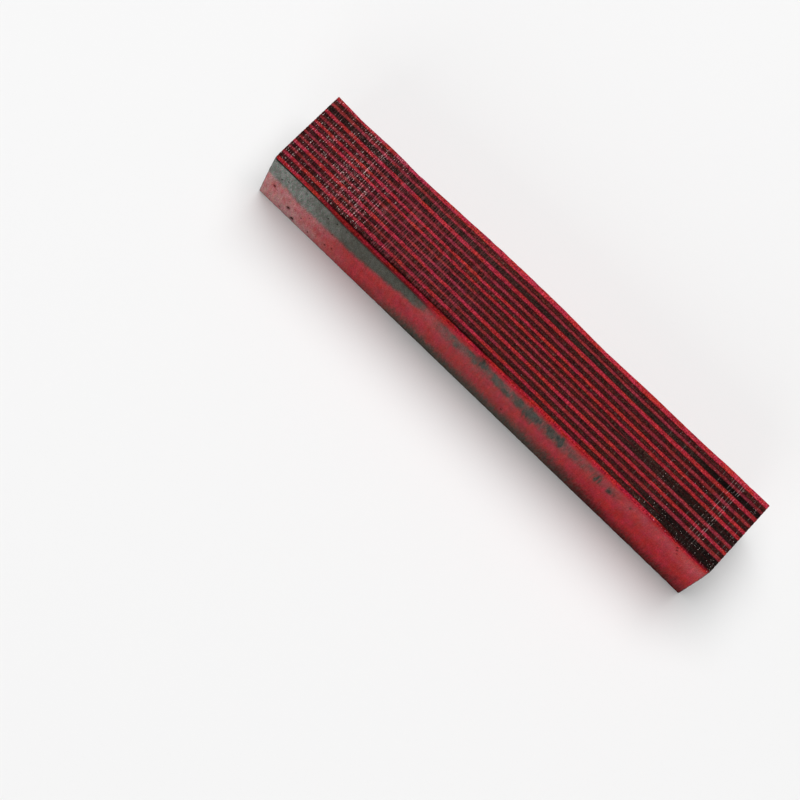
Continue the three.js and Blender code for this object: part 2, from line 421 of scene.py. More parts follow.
def wear(stack, sizes, x, y, z, glue):
    """Moves the corners of an unworn block inwards to where the saw and the wear left them.

    Each of the six faces is set back by its own relief, which fades to nothing under the face. Then
    each edge between two faces is rounded: with a and b the distances to the two faces and r the
    radius there, both are moved in by ROUNDING * r * (1 - a / r)^2 * (1 - b / r)^2.
    """
    saw, wear_out = sizes.saw_depth / MM, sizes.corner_wear / MM
    far_top = np.interp(x, stack.x, stack.top[-1])
    far_foot = np.interp(x, stack.x, stack.foot[-1])
    far_face = far_foot + (far_top - far_foot) * z / HEIGHT

    # The distance to each face, the axis across it and the way inwards.
    left, right, near = (x, 0, 1), (LENGTH - x, 0, -1), (y, 1, 1)
    far, foot, top = (far_face - y, 1, -1), (z, 2, 1), (HEIGHT - z, 2, -1)

    groove = sizes.groove_depth / MM * np.exp(-((glue / 0.09) ** 2))
    crack = sizes.crack_depth / MM * crack_mask(stack, x, y)
    top_in = saw_relief(11, x, y, saw) + groove + crack
    foot_in = saw_relief(21, x, y, saw) + groove

    sliver_top = np.interp(x, stack.x, stack.sliver[2])
    sliver_edge = 0.07 * np.exp(-(((z - sliver_top) / 0.14) ** 2)) * fall(x, 40, 50)
    teeth = 0.05 * ease(noise(31, x / 0.8), 0.25, 0.9) * fade(z, 0.6)
    near_in = saw_relief(32, x, z, saw) + 0.25 * pit_mask(x, z) + sliver_edge + teeth
    splinters = 0.05 * ease(noise(43, x / 2.2), 0.1, 0.9) * fade(HEIGHT - z, 0.9)
    far_in = saw_relief(42, x, z, saw) + splinters

    slant = sizes.end_slant / MM * y / WIDTH
    left_in = end_relief(51, y, z, glue) + 0.6 * slant
    right_in = end_relief(61, y, z, glue) + slant

    moved = [x, y, z]
    for (away, axis, inward), relief, reach in (
            (left, left_in, 1.0), (right, right_in, 1.0), (near, near_in, 0.8),
            (far, far_in, 0.8), (foot, foot_in, 0.8), (top, top_in, 0.8)):
        moved[axis] = moved[axis] + inward * relief * fade(away, reach)

    radius = sizes.arris_radius / MM
    rough_x = radius * (1 + 0.5 * noise(71, x / 1.7) + 1.6 * ease(noise(72, x / 0.9), 0.6, 1))
    rough_y = radius * (1 + 0.6 * noise(73, y / 0.8))
    rough_z = radius * (1 + 0.6 * noise(74, z / 0.9))
    near_corner = wear_out * fade(y, 2.5)
    for one, other, reach in (
            (near, top, rough_x * (1 + 1.1 * ease(x, 12, 18))),
            (near, foot, rough_x * 0.35),
            (far, top, rough_x * 0.45),
            (far, foot, rough_x),
            (left, top, rough_y * 0.5 + 0.8 * near_corner),
            (right, top, rough_y * 0.5 + 0.5 * near_corner),
            (left, foot, rough_y),
            (right, foot, rough_y),
            (left, near, rough_z + 0.6 * wear_out * ease(z, HEIGHT - 9, HEIGHT)),
            (right, near, rough_z + 0.5 * wear_out * ease(z, HEIGHT - 6, HEIGHT)),
            (left, far, rough_z),
            (right, far, rough_z)):
        push = ROUNDING * reach * fade(one[0], reach) * fade(other[0], reach)
        for _, axis, inward in (one, other):
            moved[axis] = moved[axis] + inward * push
    return moved


def ragged_edge(x, z):
    """How far the edges of the black on the near face stray, in millimetres."""
    return 0.35 * noise(81, x / 0.5, z / 3) + 0.6 * noise(82, x / 3, z / 3)


def near_black(stack, x, z):
    """How black the near face is, from 0 to 1: the sliver and its tip, the blurred band that goes
    on from it, and the patches in that band."""
    depth = HEIGHT - z
    lower, upper = (np.interp(x, stack.x, stack.sliver[row]) for row in (0, 2))
    ragged = ragged_edge(x, z)
    band = 1 - fall(z - lower + ragged, -2.8, 2.6) ** 1.8
    band = band * fall(z - upper + 0.15 * ragged, -0.05, 0.12)
    black = band * fall(x + 2 * ragged, 42, 50)
    beyond = ease(x, 44, 54) * fall(x, 86, 108)
    blurred = ease(depth + 0.5 * ragged, 0.7, 2.6) * fall(depth + ragged, 5.2, 9.8)
    strength = 0.74 + 0.04 * ease(x, 70, 78) - 0.20 * ease(x, 80, 90)
    strength = strength + 0.26 * noise(80, x / 1.1, z / 3)
    tinge = 0.20 * ease(x, 46, 56) * fall(x, 66, 82) * ease(depth, 1.5, 3)
    black = np.maximum(black, strength * beyond * blurred)
    return np.maximum(np.maximum(black, tinge), dark_patches(x, z))


def dark_patches(x, z):
    """How black the patches of the near face are, with strokes across the grain in them."""
    depth = HEIGHT - z
    ragged = ragged_edge(x, z)
    total = 0
    for px, pd, half_width, half_height, strength in DARK_PATCHES:
        away = ((x - px + 0.7 * ragged) / half_width) ** 2
        away = away + ((depth - pd + 0.9 * ragged) / half_height) ** 2
        total = np.maximum(total, strength * np.exp(-0.55 * away))
    return total * (1 + 0.60 * noise(93, x / 0.4, z / 2.4) + 0.25 * noise(95, x / 1.3, z / 5))


def foot_black_and_shade(x, z):
    """How black the near face turns towards its foot: partly black dye where the first red sheet
    runs out thin, partly painted shade along the foot.
    """
    starts = 9.5 + 1.5 * ease(x, 98, 110) + 3 * fall(x, 20, 48)
    ragged = 0.5 * noise(83, x / 0.8, z / 6) + 1.0 * noise(84, x / 5, z / 6)
    deep = ease(HEIGHT - z + ragged, starts, starts + 11.5)
    return deep * (0.24 + 0.72 * ease(x, 20, 48) - 0.06 * ease(x, 96, 108))


def near_moss(x, z):
    """How green the black is that shows through the near face: less and less towards the right, and
    sooner so along the foot than in the band."""
    low = ease(HEIGHT - z, 6, 11)
    return 0.9 - 0.85 * ease(x, 70, 106) * low - 0.25 * ease(x, 78, 106) * (1 - low)


def near_dust_and_sheen(stack, x, z):
    """How thickly pale dust and dried resin lie on the near face, from 0 to 1, together with a
    painted sheen, the floor's reflection, most at the left end and high up at the right end.
    """
    depth = HEIGHT - z
    upper_line = HEIGHT - np.interp(x, stack.x, stack.sliver[2])
    bare = np.where(x < 46, ease(depth, upper_line - 0.15, upper_line + 0.5), 1)
    left = fall(x, 5, 28) * (1 + 0.5 * ease(depth, 14, 19))
    clean = 1 - 0.8 * ease(x, 44, 48) * fall(x, 58, 64) * fall(depth, 1.5, 3.5)
    upper = 0.17 * fall(depth, 3, 12) * ease(depth, 0.6, 1.8) * (1 + 0.5 * ease(x, 118, 124))
    beyond = 0.10 * fall(x, 80, 100) * ease(depth, 1.2, 4) + upper * clean
    mottled = 1 + 0.42 * noise(87, x / 0.55, z / 1.7) + 0.20 * noise(88, x / 4, z / 3)
    thick = (left * ease(depth, 0.1, 0.5) + np.maximum(1 - left, 0) * beyond) * mottled
    return np.clip(thick * bare * (1 - 0.95 * pit_mask(x, z)), 0, 1.4)


def near_shade(stack, x, z):
    """How much brighter or darker than the dye the near face is: brighter overall, partly the face
    of the sheet showing more of its dye and partly painted light; a painted sheen high at the right
    end;
    dark in the patches; painted shade in the pits, along the sliver's upper line and at the rim;
    and bright along the arris beyond the sliver, partly stronger dye and partly a painted
    highlight."""
    depth = HEIGHT - z
    upper_line = HEIGHT - np.interp(x, stack.x, stack.sliver[2])
    shade = 0.28 + 0.12 * noise(89, x / 0.7, z / 3.5) + 0.09 * noise(90, x / 3, z / 2)
    # Brighter towards the right, and a painted sheen high up near the right end.
    shade = shade + 0.06 * ease(x, 90, 110) + 0.12 * ease(x, 112, 120) * fall(depth, 3, 10)
    flecks = 0.20 * noise(94, x / 0.5, z / 1.1)
    shade = shade + flecks * fall(x, 18, 28) * fall(depth, 8, 11)
    dark = np.maximum(dark_patches(x, z), 0) ** 1.5 * ease(x, 46, 54)
    shade = shade - dark * (0.56 + 0.55 * noise(96, x / 0.35, z / 1.6))
    # Painted shade in the pits.
    shade = shade - (0.9 + shade) * pit_mask(x, z)
    # Painted shade along the sliver's upper line, left of x 49.
    shade_above_sliver = fall(depth, upper_line - 0.05, upper_line + 0.45) * fall(x, 43, 49)
    # Along the arris: partly stronger dye, partly a painted highlight.
    arris = fall(depth, 0.3, 1.6) * ease(x, 46, 54) * (1 - 0.6 * ease(x, 100, 108))
    # Painted shade along the rim at both ends and at the foot.
    rim = 1 - np.clip(np.minimum(np.minimum(x, LENGTH - x) / 0.3, z / 0.4), 0, 1)
    return shade - 0.85 * shade_above_sliver + 0.12 * arris - (0.7 + shade) * rim


def near_looks(stack, x, z):
    """The values that the sliver and the sheet behind it take alike."""
    return {
        "cool": near_moss(x, z), "shade": near_shade(stack, x, z), "dust": near_dust_and_sheen(stack, x, z)}


def far_black(stack, x, z):
    """How black the far face is: the wedge along the foot, with a ragged upper line."""
    line = np.interp(x, stack.x, stack.wedge_line)
    ragged = 0.6 * noise(85, x / 0.6, z / 3) + 0.9 * noise(86, x / 4, z / 4)
    return 1 - ease(z - line + ragged, -1.3, 0.7)


# Meshes

def quads(lattice):
    """The four-cornered faces of a lattice of corner numbers."""
    corners = lattice[:-1, :-1], lattice[1:, :-1], lattice[1:, 1:], lattice[:-1, 1:]
    return np.stack(corners, -1).reshape(-1, 4)


def without_repeats(faces):
    """Four-cornered faces as lists, with a corner that repeats its neighbour left out."""
    keep = faces != np.roll(faces, -1, axis=1)
    whole = keep.all(1)
    worn = [face[kept].tolist() for face, kept in zip(faces[~whole], keep[~whole])]
    return faces[whole].tolist() + [face for face in worn if len(face) > 2]


def shape_mesh(name, points, faces, attributes):
    """A mesh of the points, in millimetres inside the block, with its faces turned outwards: the
    volume that its triangles enclose, as seen from the origin, has to come out above 0."""
    mesh = bpy.data.meshes.new(name)
    points = np.stack(points, -1)
    mesh.from_pydata(LOW + points * MM, [], faces)
    for label in ATTRIBUTES:
        layer = mesh.attributes.new(label, "FLOAT", "POINT")
        values = np.broadcast_to(attributes[label], len(points))
        layer.data.foreach_set("value", values.astype(np.float32))
    mesh.polygons.foreach_set("use_smooth", np.ones(len(mesh.polygons), bool))
    mesh.calc_loop_triangles()
    triangles = np.empty(len(mesh.loop_triangles) * 3, np.int32)
    mesh.loop_triangles.foreach_get("vertices", triangles)
    a, b, c = points[triangles.reshape(-1, 3).T]
    if np.einsum("ij,ij->i", a, np.cross(b, c)).sum() < 0:
        mesh.flip_normals()
    mesh.set_sharp_from_angle(angle=SHARP_ANGLE)
    mesh.update()
    return mesh


def put(name, data):
    """A new object in the scene."""
    made = bpy.data.objects.new(name, data)
    bpy.context.scene.collection.objects.link(made)
    return made


def place(name, mesh):
    """Puts a finished mesh into the scene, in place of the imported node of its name."""
    dye = next(dye for dye in VENEERS if name.endswith(dye))
    mesh.materials.append(bpy.data.materials["sawn_" + dye])
    piece = put("sawn_" + name, mesh)
    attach(piece, "root")
    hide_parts(name)


def heights():
    """Heights of the rows on an upright face: closer together along the foot and the top."""
    close = np.array([0, 0.04, 0.09, 0.16, 0.28, 0.45])
    return np.concatenate([close, np.linspace(0.75, HEIGHT - 0.75, 73), HEIGHT - close[::-1]])


def sheet_mesh(stack, sheet):
    """One unworn veneer. Its corner at station x, share s across it and height z lies at the depth
    near + s * (far - near).

    Its top, foot and ends are grids over two of the three, and so is a skin that is the outside of
    the block. A skin that is glued to a neighbour is one ruled strip. Returned are the corners,
    their distances to the nearest glue line, the faces, and on each axis of the lattice the
    corners' places and the last place.
    """
    z = heights()
    near, far = stack.skins(sheet, z[None])
    there = (far - near)[:, [0, -1]].min(1) > THINNEST_SHEET
    x, near, far = stack.x[there], near[there], far[there]
    # Shares of the way across a sheet: closer together at its two glue lines.
    share = np.array([0, 0.05, 0.13, 0.3, 0.5, 0.7, 0.87, 0.95, 1])
    near_is_outside, far_is_outside = sheet == 0, sheet == LAST

    # Corners of the whole bar of x, s and z. Only those on its outside are used.
    number = np.full((len(x), len(share), len(z)), -1)
    used = np.zeros(number.shape, bool)
    used[:, :, [0, -1]] = True
    used[[0, -1]] = True
    used[:, 0] |= near_is_outside
    used[:, -1] |= far_is_outside
    number[used] = np.arange(used.sum())
    i, j, k = np.nonzero(used)
    depth = near[i, k] + share[j] * (far[i, k] - near[i, k])
    glue = np.minimum(
        NO_GLUE if near_is_outside else depth - near[i, k],
        NO_GLUE if far_is_outside else far[i, k] - depth)

    faces = without_repeats(np.concatenate([
        quads(number[:, :, -1]),
        quads(number[:, ::-1, 0]),
        quads(number[0].T),
        quads(number[-1].T[:, ::-1]),
    ]))
    for grid, outside in (
            (number[:, 0, ::-1], near_is_outside), (number[:, -1], far_is_outside)):
        if outside:
            faces += quads(grid).tolist()
            continue
        faces += quads(grid[1:-1, [0, -1]]).tolist()
        faces.append(grid[0][::-1].tolist() + grid[1, [0, -1]].tolist())
        faces.append(grid[-1].tolist() + grid[-2, [-1, 0]].tolist())
    return (x[i], depth, z[k]), glue, faces, ((i, j, k), np.array(number.shape) - 1)


def turned(table, sheet, x):
    """How far a sheet has turned along x, by those rows of a table that name it."""
    rows = (row for row in table if sheet in row[0])
    return sum(amount * ease(x, low, high) for _, low, high, amount in rows)


def sheet_shade(stack, dyes, sheet, x, y, z):
    """How much brighter or darker than its dye a sheet is: by its own tone, in slow drifts, towards
    the two ends, and by painted shade in the open joint."""
    own = dyes.sheet_spread * np.random.default_rng(500 + sheet).uniform(-1, 1)
    shade = own + TONES.get(sheet, 0)
    shade = shade + 0.10 * noise(600 + sheet, x / 9)
    shade = shade + 0.06 * noise(640 + sheet, x / 1.6, y / 0.4, z / 3)
    shade = shade - (0.38 if sheet in BLACKS else 0.10) * fall(x, 17, 36)
    shade = shade - turned(TURNING_DARK, sheet, x)
    # Painted shade in the open joint.
    if sheet in (0, 1):
        shade = shade - 0.85 * crack_mask(stack, x, y)
    if sheet == LAST:
        shade = shade - 0.16 * ease(x, 12, 20) * fall(x, 28, 38)
        shade = shade + 0.12 * ease(x, 50, 60) * fall(x, 80, 92)
    return shade


def build_sheet(stack, sizes, dyes, sheet, name):
    """One finished veneer, worn, with the values on its corners that its material reads."""
    (x, y, z), glue, faces, ((i, j, k), (right, far, top)) = sheet_mesh(stack, sheet)
    cut_right = (i == right) & (np.abs(x - LENGTH) <= SAME_LEVEL)
    looks = {
        "glue": glue, "other": 0, "end": (i == 0) | cut_right, "dust": 0,
        "shade": sheet_shade(stack, dyes, sheet, x, y, z),
        "cool": 0.10 + turned(TURNING_COOL, sheet, x),
        "glint_paint": painted_glint_density(x, y) * (k == top), "sheen_paint": painted_sheen_strength(x, y) * (k == top),
    }
    if sheet == COOL_BLACK:
        looks["cool"] = 0.9
    if sheet == 0:
        clean = ease(x, 9, 16) * fall(x, 45, 58) * (k == top)
        looks["cool"] = 1
        looks["shade"] = looks["shade"] - 0.42 * clean
        looks["glint_paint"] = looks["glint_paint"] * (1 - 0.85 * clean)
        looks["sheen_paint"] = looks["sheen_paint"] * (1 - 0.95 * clean)
        on_near = (j == 0) & (z < HEIGHT)
        black = np.maximum(near_black(stack, x, z), foot_black_and_shade(x, z))
        skin = {"glue": NO_GLUE, "other": black, **near_looks(stack, x, z)}
        for label, values in skin.items():
            looks[label] = np.where(on_near, values, looks[label])
    if sheet == LAST:
        on_far = j == far
        looks["other"] = far_black(stack, x, z) * on_far
        # Dust on the far face, with a little painted sheen in it, as on the near face.
        looks["dust"] = (0.22 + 0.12 * noise(701, x / 3, z / 2)) * on_far
        looks["glue"] = np.where(on_far & (z < HEIGHT), NO_GLUE, glue)
    points = wear(stack, sizes, x, y, z, looks["glue"])
    return shape_mesh("sawn_" + name, points, faces, looks)


def painted_glint_density(x, y):
    """How thickly painted glints, highlights painted as pale specks, lie on the top: most over
    the left third, few at the right.
    """
    left = (0.58 + 0.07 * ease(x, 7, 14)) * (1 - 0.85 * ease(x, 15, 42))
    right = 0.38 * ease(x, 92, 108) * (1 + 0.35 * fall(y, 3, 5))
    return np.clip(np.maximum(left, right) * (1 + 0.12 * noise(91, x / 5, y / 3)) + 0.02, 0, 1)


def painted_sheen_strength(x, y):
    """How strongly the painted sheen over the saw strokes of the top shows: over the left third,
    most at its middle.
    """
    rising = (0.35 + 0.40 * ease(x, 6, 13)) * (1 - 0.25 * ease(x, 16, 34))
    return rising * fall(x, 38, 62) * (1 + 0.18 * noise(92, x / 6, y / 4))


def build_offcut(stack, sizes, name, depth_of, line, inward, looks_of):
    """A thin piece on the outside of the block, from a line of the stack inwards.

    Both faces are grids over x and z. They share their corners where the piece has no thickness,
    and a rim joins them where the cut ends or top or foot show some.
    """
    z = heights()
    depth = depth_of(z[None])
    number = np.arange(depth.size).reshape(depth.shape)
    cells = (depth[:-1, :-1] + depth[1:, :-1] + depth[1:, 1:] + depth[:-1, 1:]) > 0
    front = quads(number).reshape(*cells.shape, 4)[cells]
    behind = np.where(depth > 0, number + depth.size, number)
    back = quads(behind).reshape(*cells.shape, 4)[cells][:, ::-1]
    edges = np.stack([front, np.roll(front, -1, axis=1)], -1).reshape(-1, 2)
    _, first, counts = np.unique(np.sort(edges, 1), axis=0, return_index=True, return_counts=True)
    rim = edges[first[counts == 1]]
    twin = behind.ravel()
    rims = np.stack([rim[:, 1], rim[:, 0], twin[rim[:, 0]], twin[rim[:, 1]]], -1)
    faces = np.concatenate([front, back, rims])
    used, compact = np.unique(faces, return_inverse=True)
    faces = without_repeats(compact.reshape(faces.shape))

    at = used % depth.size
    x = np.repeat(stack.x, len(z))[at]
    height = np.tile(z, len(stack.x))[at]
    outer = stack.line(line, z[None]).ravel()[at]
    points = wear(stack, sizes, x, outer, height, NO_GLUE)
    points[1] = points[1] + inward * depth.ravel()[at] * (used >= depth.size)
    return shape_mesh("sawn_" + name, points, faces, {
        "glue": NO_GLUE, "end": (x < SAME_LEVEL) | (x > LENGTH - SAME_LEVEL), "glint_paint": 0, "sheen_paint": 0,
        **looks_of(x, height)})


# Materials

class Bench:
    """Lays nodes into one tree. A value is a number, a colour, or the output of another node."""

    def __init__(self, tree):
        self.tree = tree

    def feed(self, socket, value):
        if isinstance(value, bpy.types.NodeSocket):
            self.tree.links.new(value, socket)
        else:
            socket.default_value = value

    def node(self, kind, values=None, **settings):
        made = self.tree.nodes.new(kind)
        for name, setting in settings.items():
            setattr(made, name, setting)
        for key, value in (values or {}).items():
            self.feed(made.inputs[key], value)
        return made

    def math(self, operation, *values):
        return self.node("ShaderNodeMath", dict(enumerate(values)), operation=operation).outputs[0]

    def plus(self, one, other):
        return self.math("ADD", one, other)

    def minus(self, one, other):
        return self.math("SUBTRACT", one, other)

    def times(self, product, *values):
        for value in values:
            product = self.math("MULTIPLY", product, value)
        return product

    def times_plus(self, value, weight, added):
        return self.math("MULTIPLY_ADD", value, weight, added)

    def mix(self, factor, a, b):
        return self.node("ShaderNodeMix", {0: factor, 6: a, 7: b}, data_type="RGBA").outputs[2]

    def ease(self, value, low, high, start=0.0, end=1.0):
        values = {"Value": value, "From Min": low, "From Max": high, "To Min": start, "To Max": end}
        made = self.node("ShaderNodeMapRange", values, interpolation_type="SMOOTHSTEP")
        return made.outputs[0]

    def place(self):
        """Place on the object, from one node for the whole tree."""
        found = self.tree.nodes.get("Place") or self.node("ShaderNodeTexCoord", name="Place")
        return found.outputs["Object"]

    def grains(self, size, detail=2.0):
        """Noise from 0 to 1 whose grains have this size in millimetres along X, Y and Z."""
        scale = [1 / (MM * side) for side in size]
        scaled = self.node("ShaderNodeMapping", {"Vector": self.place(), "Scale": scale}).outputs[0]
        values = {"Vector": scaled, "Scale": 1.0, "Detail": detail, "Roughness": 0.55}
        return self.node("ShaderNodeTexNoise", values).outputs["Fac"]

    def attribute(self, name):
        return self.node("ShaderNodeAttribute", attribute_name=name).outputs["Fac"]


def new_group(name, inputs, outputs):
    """A shader node group that takes numbers, each with its default, and gives numbers.

    Returned are the group, its bench, the sockets that bring its inputs and those of its outputs.
    """
    group = bpy.data.node_groups.new(name, "ShaderNodeTree")
    for label, default in inputs.items():
        socket = group.interface.new_socket(label, in_out="INPUT", socket_type="NodeSocketFloat")
        socket.default_value = default
    for label in outputs:
        group.interface.new_socket(label, in_out="OUTPUT", socket_type="NodeSocketFloat")
    bench = Bench(group)
    return group, bench, bench.node("NodeGroupInput").outputs, bench.node("NodeGroupOutput").inputs


def sawn_grain_group():
    """Fibres along the grain, strokes and bars of the saw across it, specks, pores, and the height
    of the wood that they make together."""
    outputs = ("Fibres", "Strokes", "Bars", "Specks", "Pores", "Height")
    group, bench, _, out = new_group("Sawn grain", {}, outputs)
    fibres = bench.grains((5.0, 0.16, 0.16), 3.0)
    strokes = bench.grains((0.22, 3.0, 3.0), 3.0)
    specks = bench.grains((0.34, 0.30, 0.34))
    pores = bench.ease(bench.grains((0.6, 0.30, 0.45)), 0.60, 0.70)
    along = bench.node("ShaderNodeSeparateXYZ", {"Vector": bench.place()}).outputs[0]
    turns = bench.times(along, 2 * math.pi / (SAW_PITCH * MM))
    drift = bench.times(bench.grains((3.0, 7.0, 7.0)), 9.0)
    bars = bench.times_plus(bench.math("SINE", bench.plus(turns, drift)), 0.5, 0.5)
    height = bench.times(fibres, 0.6)
    for value, weight in ((strokes, 0.9), (bars, 0.35), (specks, 0.9), (pores, -0.5)):
        height = bench.times_plus(value, weight, height)
    for label, value in zip(outputs, (fibres, strokes, bars, specks, pores, height)):
        bench.feed(out[label], value)
    return group


def dye_drift_group():
    """Slow drift of a dye along its sheet, mottling and fine tinting of it, all from 0 to 1."""
    sizes = {"Drift": (3.2, 0.8, 6.0), "Mottle": (0.9, 0.5, 2.4), "Tint": (0.45, 0.35, 1.5)}
    group, bench, _, out = new_group("Dye drift", {}, sizes)
    for label, size in sizes.items():
        bench.feed(out[label], bench.grains(size))
    return group


def feathered_group():
    """A soft mask with its edge torn into strokes across the grain."""
    inputs = {"Mask": 0.0, "Tear": 0.5}
    group, bench, given, out = new_group("Feathered edge", inputs, ["Mask"])
    fringe = bench.grains((0.35, 2.2, 2.2), 3.0)
    inside = bench.ease(given["Mask"], 0.0, 0.25)
    torn = bench.times(bench.minus(fringe, 0.5), given["Tear"])
    bench.feed(out["Mask"], bench.ease(bench.times_plus(torn, inside, given["Mask"]), 0.0, 1.0))
    return group


def glue_line_group():
    """1 on a glue line and 0 away from it, over a width that changes along the line."""
    inputs = {"Distance": 1.0, "Width": 0.1}
    group, bench, given, out = new_group("Glue line", inputs, ["Mask"])
    swell = bench.ease(bench.grains((1.2, 0.4, 0.4)), 0.3, 0.7, 0.6, 1.4)
    away = bench.ease(given["Distance"], 0.0, bench.times(given["Width"], swell))
    bench.feed(out["Mask"], bench.minus(1.0, away))
    return group


def painted_glints_group():
    """Painted highlights: pale specks of dried resin, painted as if they catch the light, most of
    them in lines across the grain, and a painted sheen on the same lines. A higher density lowers
    the level that the specks' noise has to reach."""
    inputs = {"Density": 0.2, "Haze": 0.0, "Bars": 0.5}
    group, bench, given, out = new_group("Resin glints", inputs, ["Mask", "Painted_sheen"])
    specks = bench.grains((0.24, 0.28, 0.28), 1.0)
    lines = bench.minus(bench.grains((0.26, 4.0, 4.0), 1.0), 0.5)
    lines = bench.times_plus(bench.minus(given["Bars"], 0.5), 0.12, lines)
    value = bench.times_plus(lines, 0.55, specks)
    level = bench.times_plus(bench.math("POWER", given["Density"], 2.0), -0.46, 0.84)
    bench.feed(out["Mask"], bench.ease(value, level, bench.plus(level, 0.10)))
    bench.feed(out["Painted_sheen"], bench.times(bench.ease(lines, -0.04, 0.20), given["Haze"]))
    return group


def scratches_group():
    """Thin pale scratches across the top, partly painted highlight, each at its own x, broken along
    its length and faint over the sheets next to the near face."""
    group, bench, _, out = new_group("Saw scratches", {}, ["Mask"])
    x, y, z = bench.node("ShaderNodeSeparateXYZ", {"Vector": bench.place()}).outputs[:3]
    bent = bench.times_plus(bench.grains((9.0, 5.0, 5.0), 1.0), SCRATCH_BEND * MM, x)
    total = 0.0
    for at, strength in SCRATCHES:
        middle = (at + SCRATCH_BEND / 2) * MM + float(LOW[0])
        away = bench.math("ABSOLUTE", bench.minus(bent, middle))
        total = bench.plus(total, bench.ease(away, 0.02 * MM, 0.10 * MM, strength, 0.0))
    broken = bench.ease(bench.grains((0.4, 0.9, 0.9)), 0.40, 0.60)
    deep = bench.ease(y, (2.5 - WIDTH / 2) * MM, (6 - WIDTH / 2) * MM, 0.2, 1.0)
    on_top = bench.ease(z, (HEIGHT - 0.5) * MM, (HEIGHT - 0.1) * MM)
    bench.feed(out["Mask"], bench.times(total, bench.times(broken, deep), on_top))
    return group


def veneer_material(colour_name, dye, cool, through, glint_paint_colour, dyes, groups):
    """Dyed veneer: its own dye with fibres and strokes in it, the neighbour's dye where it shows
    through, dark resin at the glue lines, painted glints, dust with painted sheen, dull end grain.

    The neighbour's dye is that of the sheet behind a thin piece. Where it is None, the neighbour
    is black, and shows in the mossy tone that a thin black piece has too.
    """
    glue_width, mottled, tear, depth = VENEERS[colour_name]
    material = bpy.data.materials.new("sawn_" + colour_name)
    material.use_nodes = True
    material.diffuse_color = dye
    material.node_tree.nodes.clear()
    bench = Bench(material.node_tree)
    read = {name: bench.attribute(name) for name in ATTRIBUTES}

    def group(label, **values):
        return bench.node("ShaderNodeGroup", values, node_tree=groups[label]).outputs

    grain, drift = group("grain"), group("drift")
    shows = group("feathered", Mask=read["other"], Tear=tear)[0]
    glue = group("glue", Distance=read["glue"], Width=glue_width)[0]
    # Painted glints, as pale specks, and a painted sheen over the saw strokes.
    resin = group("glints", Density=read["glint_paint"], Haze=read["sheen_paint"], Bars=grain["Bars"])

    # The texture is stronger on the top and the ends, whose sheets show on edge.
    on_edge = bench.math("LESS_THAN", read["glue"], GLUE_IS_FAR)
    deeper = bench.times_plus(read["sheen_paint"], 0.6, depth - 0.55)
    contrast = bench.times_plus(on_edge, deeper, 0.55)

    # The sheet's own dye drifts in hue, fades in specks and is mottled with moss.
    own = bench.mix(bench.times(read["cool"], on_edge), dye, cool)
    turn = bench.times(bench.ease(drift["Drift"], 0.3, 0.7, -0.009, 0.006), contrast)
    faded = bench.times(bench.ease(grain["Specks"], 0.3, 0.7, 0.02, -0.035), on_edge)
    hue, saturation = bench.plus(turn, 0.5), bench.plus(faded, 1.0)
    own = bench.node(
        "ShaderNodeHueSaturation", {"Hue": hue, "Saturation": saturation, "Color": own}).outputs[0]
    own = bench.mix(bench.ease(drift["Tint"], 0.45, 0.75, 0.0, mottled), own, dyes.moss)
    green = bench.plus(read["cool"], bench.ease(drift["Tint"], 0.35, 0.65, -0.3, 0.3))
    mossy = bench.mix(green, dyes.black, dyes.moss)
    if through is None:
        through = mossy
    else:
        own = bench.mix(on_edge, mossy, own)
    colour = bench.mix(shows, own, through)

    texture = bench.ease(grain["Pores"], 0.0, 1.0, 1.0, 0.45)
    for label, least, most in (
            ("Fibres", 0.78, 1.22), ("Strokes", 0.80, 1.20), ("Specks", 0.58, 1.42)):
        texture = bench.times(texture, bench.ease(grain[label], 0.28, 0.72, least, most))
    texture = bench.times(texture, bench.ease(drift["Mottle"], 0.3, 0.7, 0.84, 1.16))
    texture = bench.times_plus(bench.minus(texture, 1.0), contrast, 1.0)
    light = bench.times(bench.plus(1.0, read["shade"]), bench.math("MAXIMUM", texture, DARKEST))
    colour = bench.node("ShaderNodeHueSaturation", {"Value": light, "Color": colour}).outputs[0]
    colour = bench.mix(bench.times(glue, 0.82), colour, dyes.resin)

    # The cut ends: open grain, pale with dust between dark pores, and little of the dye.
    open_grain = bench.ease(grain["Fibres"], 0.3, 0.7, 0.0, 0.40)
    for value, share in ((grain["Specks"], 0.25), (drift["Mottle"], 0.35)):
        open_grain = bench.plus(open_grain, bench.ease(value, 0.32, 0.68, 0.0, share))
    shaded_grain = [0.25 * value for value in dyes.end_grain[:3]] + [1]
    cut = bench.mix(open_grain, shaded_grain, dyes.end_grain)
    cut = bench.mix(bench.ease(drift["Tint"], 0.35, 0.65, 0.0, 0.35), cut, dyes.moss)
    cut = bench.mix(bench.times(grain["Pores"], 0.75), cut, dyes.resin)
    colour = bench.mix(read["end"], colour, bench.mix(0.13, cut, own))

    # Dust, with painted sheen in it, lies in the wood's texture, and painted glints and a painted
    # sheen of resin lie over it.
    dust_and_sheen_bloom = bench.times(
        read["dust"], bench.ease(grain["Specks"], 0.25, 0.75, 0.05, 0.23),
        bench.ease(grain["Pores"], 0.0, 1.0, 1.0, 0.3))
    dust_and_sheen_colour = bench.mix(bench.ease(drift["Tint"], 0.38, 0.62), dyes.dust, dyes.rosy_dust_and_sheen)
    colour = bench.mix(dust_and_sheen_bloom, colour, dust_and_sheen_colour)
    # A painted sheen on the saw strokes, in a red between the glint's and the dye's.
    sheen_paint_colour = bench.mix(0.5, dyes.red_glint_paint, dyes.red)
    colour = bench.mix(bench.times(resin["Painted_sheen"], 0.27), colour, sheen_paint_colour)
    scratched = bench.times(group("scratches")[0], 0.5)
    # Painted glints and the scratches, both painted pale in the glint colour.
    pale = bench.math("MAXIMUM", bench.times(resin["Mask"], 0.9), scratched)
    colour = bench.mix(pale, colour, glint_paint_colour)

